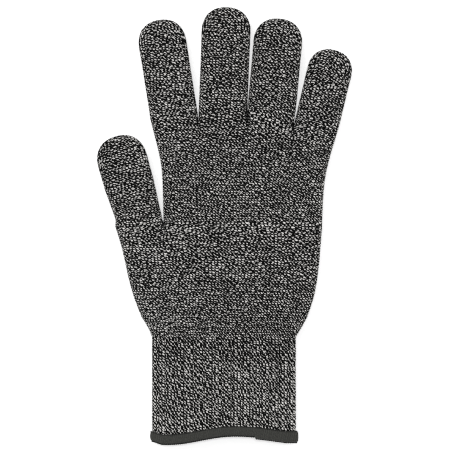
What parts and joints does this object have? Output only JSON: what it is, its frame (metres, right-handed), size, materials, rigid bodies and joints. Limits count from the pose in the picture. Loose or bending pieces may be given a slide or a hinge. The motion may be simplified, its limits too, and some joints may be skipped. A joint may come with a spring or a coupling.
{
  "type": "cut-resistant knitted glove",
  "caption": "Seamless knitted cut-resistant glove, marled yarn with ribbed elastic cuff and overlocked hem; hollow fingers, thumb and wrist bend at joints.",
  "frame": {"origin": "bottom centre of the bounding box, on the surface the glove lies on", "axes": "+Y from the cuff to the fingertips, +Z from the palm side up to the back of the hand, +X towards the little finger, so the thumb is on the -X side"},
  "size_m": [0.146, 0.2502, 0.0144],
  "materials": {
    "marl_knit": "matte black and light grey marled yarn, plain knit",
    "rib_knit": "the same marled yarn, ribbed",
    "overlock_thread": "charcoal textured polyester thread",
    "elastic": "covered elastane yarn"
  },
  "bodies": {
    "palm": {"lower_palm": "marl_knit", "upper_palm": "marl_knit"},
    "cuff": {"cuff_tube": "rib_knit", "cuff_elastic_yarn": "elastic", "hem_outer_looper": "overlock_thread", "hem_inner_looper": "overlock_thread", "hem_needle_thread": "overlock_thread", "hem_lap": "overlock_thread"},
    "index_base": {"index_base": "marl_knit"},
    "index_middle": {"index_middle": "marl_knit"},
    "index_tip": {"index_tip": "marl_knit", "index_yarn_tail": "marl_knit"},
    "middle_base": {"middle_base": "marl_knit"},
    "middle_middle": {"middle_middle": "marl_knit"},
    "middle_tip": {"middle_tip": "marl_knit", "middle_yarn_tail": "marl_knit"},
    "ring_base": {"ring_base": "marl_knit"},
    "ring_middle": {"ring_middle": "marl_knit"},
    "ring_tip": {"ring_tip": "marl_knit", "ring_yarn_tail": "marl_knit"},
    "little_base": {"little_base": "marl_knit"},
    "little_middle": {"little_middle": "marl_knit"},
    "little_tip": {"little_tip": "marl_knit", "little_yarn_tail": "marl_knit"},
    "thumb_base": {"thumb_base": "marl_knit"},
    "thumb_tip": {"thumb_tip": "marl_knit", "thumb_yarn_tail": "marl_knit"}
  },
  "joints": [
    {"name": "wrist_bend", "type": "hinge", "parent": "palm", "child": "cuff", "pos_m": [-0.00032, -0.06363, 0.00652], "axis": [1, 0, 0], "range_deg": [-45, 45], "stiffness_Nm_per_rad": 0.01},
    {"name": "index_base_bend", "type": "hinge", "parent": "palm", "child": "index_base", "pos_m": [-0.02906, 0.06387, 0], "axis": [-1, 0, 0], "range_deg": [0, 90], "stiffness_Nm_per_rad": 0.004},
    {"name": "index_middle_bend", "type": "hinge", "parent": "index_base", "child": "index_middle", "pos_m": [-0.03194, 0.08205, 0], "axis": [-1, 0, 0], "range_deg": [0, 90], "stiffness_Nm_per_rad": 0.003},
    {"name": "index_end_bend", "type": "hinge", "parent": "index_middle", "child": "index_tip", "pos_m": [-0.03454, 0.09844, 0], "axis": [-1, 0, 0], "range_deg": [0, 55], "stiffness_Nm_per_rad": 0.002},
    {"name": "middle_base_bend", "type": "hinge", "parent": "palm", "child": "middle_base", "pos_m": [-0.00071, 0.06887, 0], "axis": [-1, 0, 0], "range_deg": [0, 90], "stiffness_Nm_per_rad": 0.004},
    {"name": "middle_middle_bend", "type": "hinge", "parent": "middle_base", "child": "middle_middle", "pos_m": [0.00002, 0.08786, 0], "axis": [-1, 0, 0], "range_deg": [0, 90], "stiffness_Nm_per_rad": 0.003},
    {"name": "middle_end_bend", "type": "hinge", "parent": "middle_middle", "child": "middle_tip", "pos_m": [0.00069, 0.10525, 0], "axis": [-1, 0, 0], "range_deg": [0, 55], "stiffness_Nm_per_rad": 0.002},
    {"name": "ring_base_bend", "type": "hinge", "parent": "palm", "child": "ring_base", "pos_m": [0.02726, 0.06887, 0], "axis": [-1, 0, 0], "range_deg": [0, 90], "stiffness_Nm_per_rad": 0.004},
    {"name": "ring_middle_bend", "type": "hinge", "parent": "ring_base", "child": "ring_middle", "pos_m": [0.02875, 0.08521, 0], "axis": [-1, 0, 0], "range_deg": [0, 90], "stiffness_Nm_per_rad": 0.003},
    {"name": "ring_end_bend", "type": "hinge", "parent": "ring_middle", "child": "ring_tip", "pos_m": [0.03011, 0.10014, 0], "axis": [-1, 0, 0], "range_deg": [0, 55], "stiffness_Nm_per_rad": 0.002},
    {"name": "little_base_bend", "type": "hinge", "parent": "palm", "child": "little_base", "pos_m": [0.0535, 0.06067, 0], "axis": [-1, 0, 0], "range_deg": [0, 90], "stiffness_Nm_per_rad": 0.004},
    {"name": "little_middle_bend", "type": "hinge", "parent": "little_base", "child": "little_middle", "pos_m": [0.05653, 0.07331, 0], "axis": [-1, 0, 0], "range_deg": [0, 90], "stiffness_Nm_per_rad": 0.003},
    {"name": "little_end_bend", "type": "hinge", "parent": "little_middle", "child": "little_tip", "pos_m": [0.05924, 0.08459, 0], "axis": [-1, 0, 0], "range_deg": [0, 45], "stiffness_Nm_per_rad": 0.002},
    {"name": "thumb_base_bend", "type": "hinge", "parent": "palm", "child": "thumb_base", "pos_m": [-0.04917, 0.00457, 0], "axis": [-0.9942, -0.1074, 0], "range_deg": [0, 60], "stiffness_Nm_per_rad": 0.004},
    {"name": "thumb_end_bend", "type": "hinge", "parent": "thumb_base", "child": "thumb_tip", "pos_m": [-0.05532, 0.02632, 0], "axis": [-0.9622, -0.2723, 0], "range_deg": [0, 80], "stiffness_Nm_per_rad": 0.002}
  ]
}
